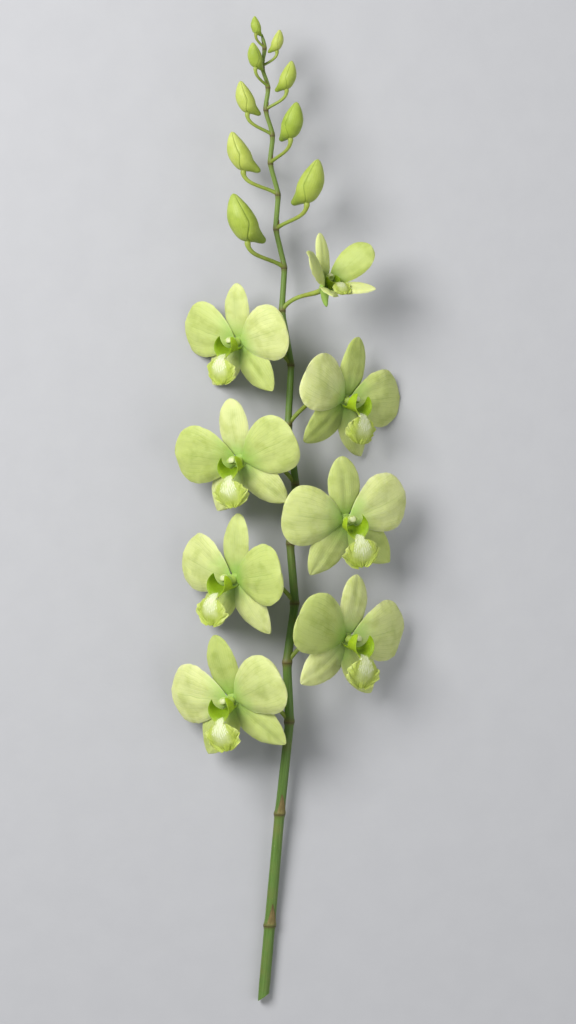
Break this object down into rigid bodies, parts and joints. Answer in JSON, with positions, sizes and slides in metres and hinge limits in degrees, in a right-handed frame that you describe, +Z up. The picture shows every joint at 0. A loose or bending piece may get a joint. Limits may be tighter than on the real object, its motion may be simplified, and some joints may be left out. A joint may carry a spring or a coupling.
{
  "type": "dendrobium orchid stem",
  "caption": "Cut orchid stem laid on its side: a slender arching stem with flat broad-petalled blooms on curved stalks, a half-open bloom and closed buds to its tip.",
  "frame": {"origin": "on the surface that the stem lies on, under the middle of its bounding box", "axes": "+Y along the stem from its cut end to its tip, +Z up, the open blooms facing up"},
  "size_m": [0.1162, 0.4878, 0.0604],
  "materials": {
    "stem": "satin",
    "petals": "matte",
    "lip": "matte",
    "column": "satin",
    "bud": "satin"
  },
  "bodies": {
    "root": {"stem": "stem", "bloom_1_petals": "petals", "bloom_1_lip": "lip", "bloom_1_column": "column", "bloom_2_petals": "petals", "bloom_2_lip": "lip", "bloom_2_column": "column", "bloom_3_petals": "petals", "bloom_3_lip": "lip", "bloom_3_column": "column", "bloom_4_petals": "petals", "bloom_4_lip": "lip", "bloom_4_column": "column", "bloom_5_petals": "petals", "bloom_5_lip": "lip", "bloom_5_column": "column", "bloom_6_petals": "petals", "bloom_6_lip": "lip", "bloom_6_column": "column", "bloom_7_petals": "petals", "bloom_7_lip": "lip", "bloom_7_column": "column", "opening_bloom_petals": "petals", "opening_bloom_lip": "lip", "opening_bloom_column": "column", "bud_1": "bud", "bud_2": "bud", "bud_3": "bud", "bud_4": "bud", "bud_5": "bud", "bud_6": "bud", "bud_7": "bud", "bud_8": "bud", "bud_9": "bud"}
  },
  "joints": []
}
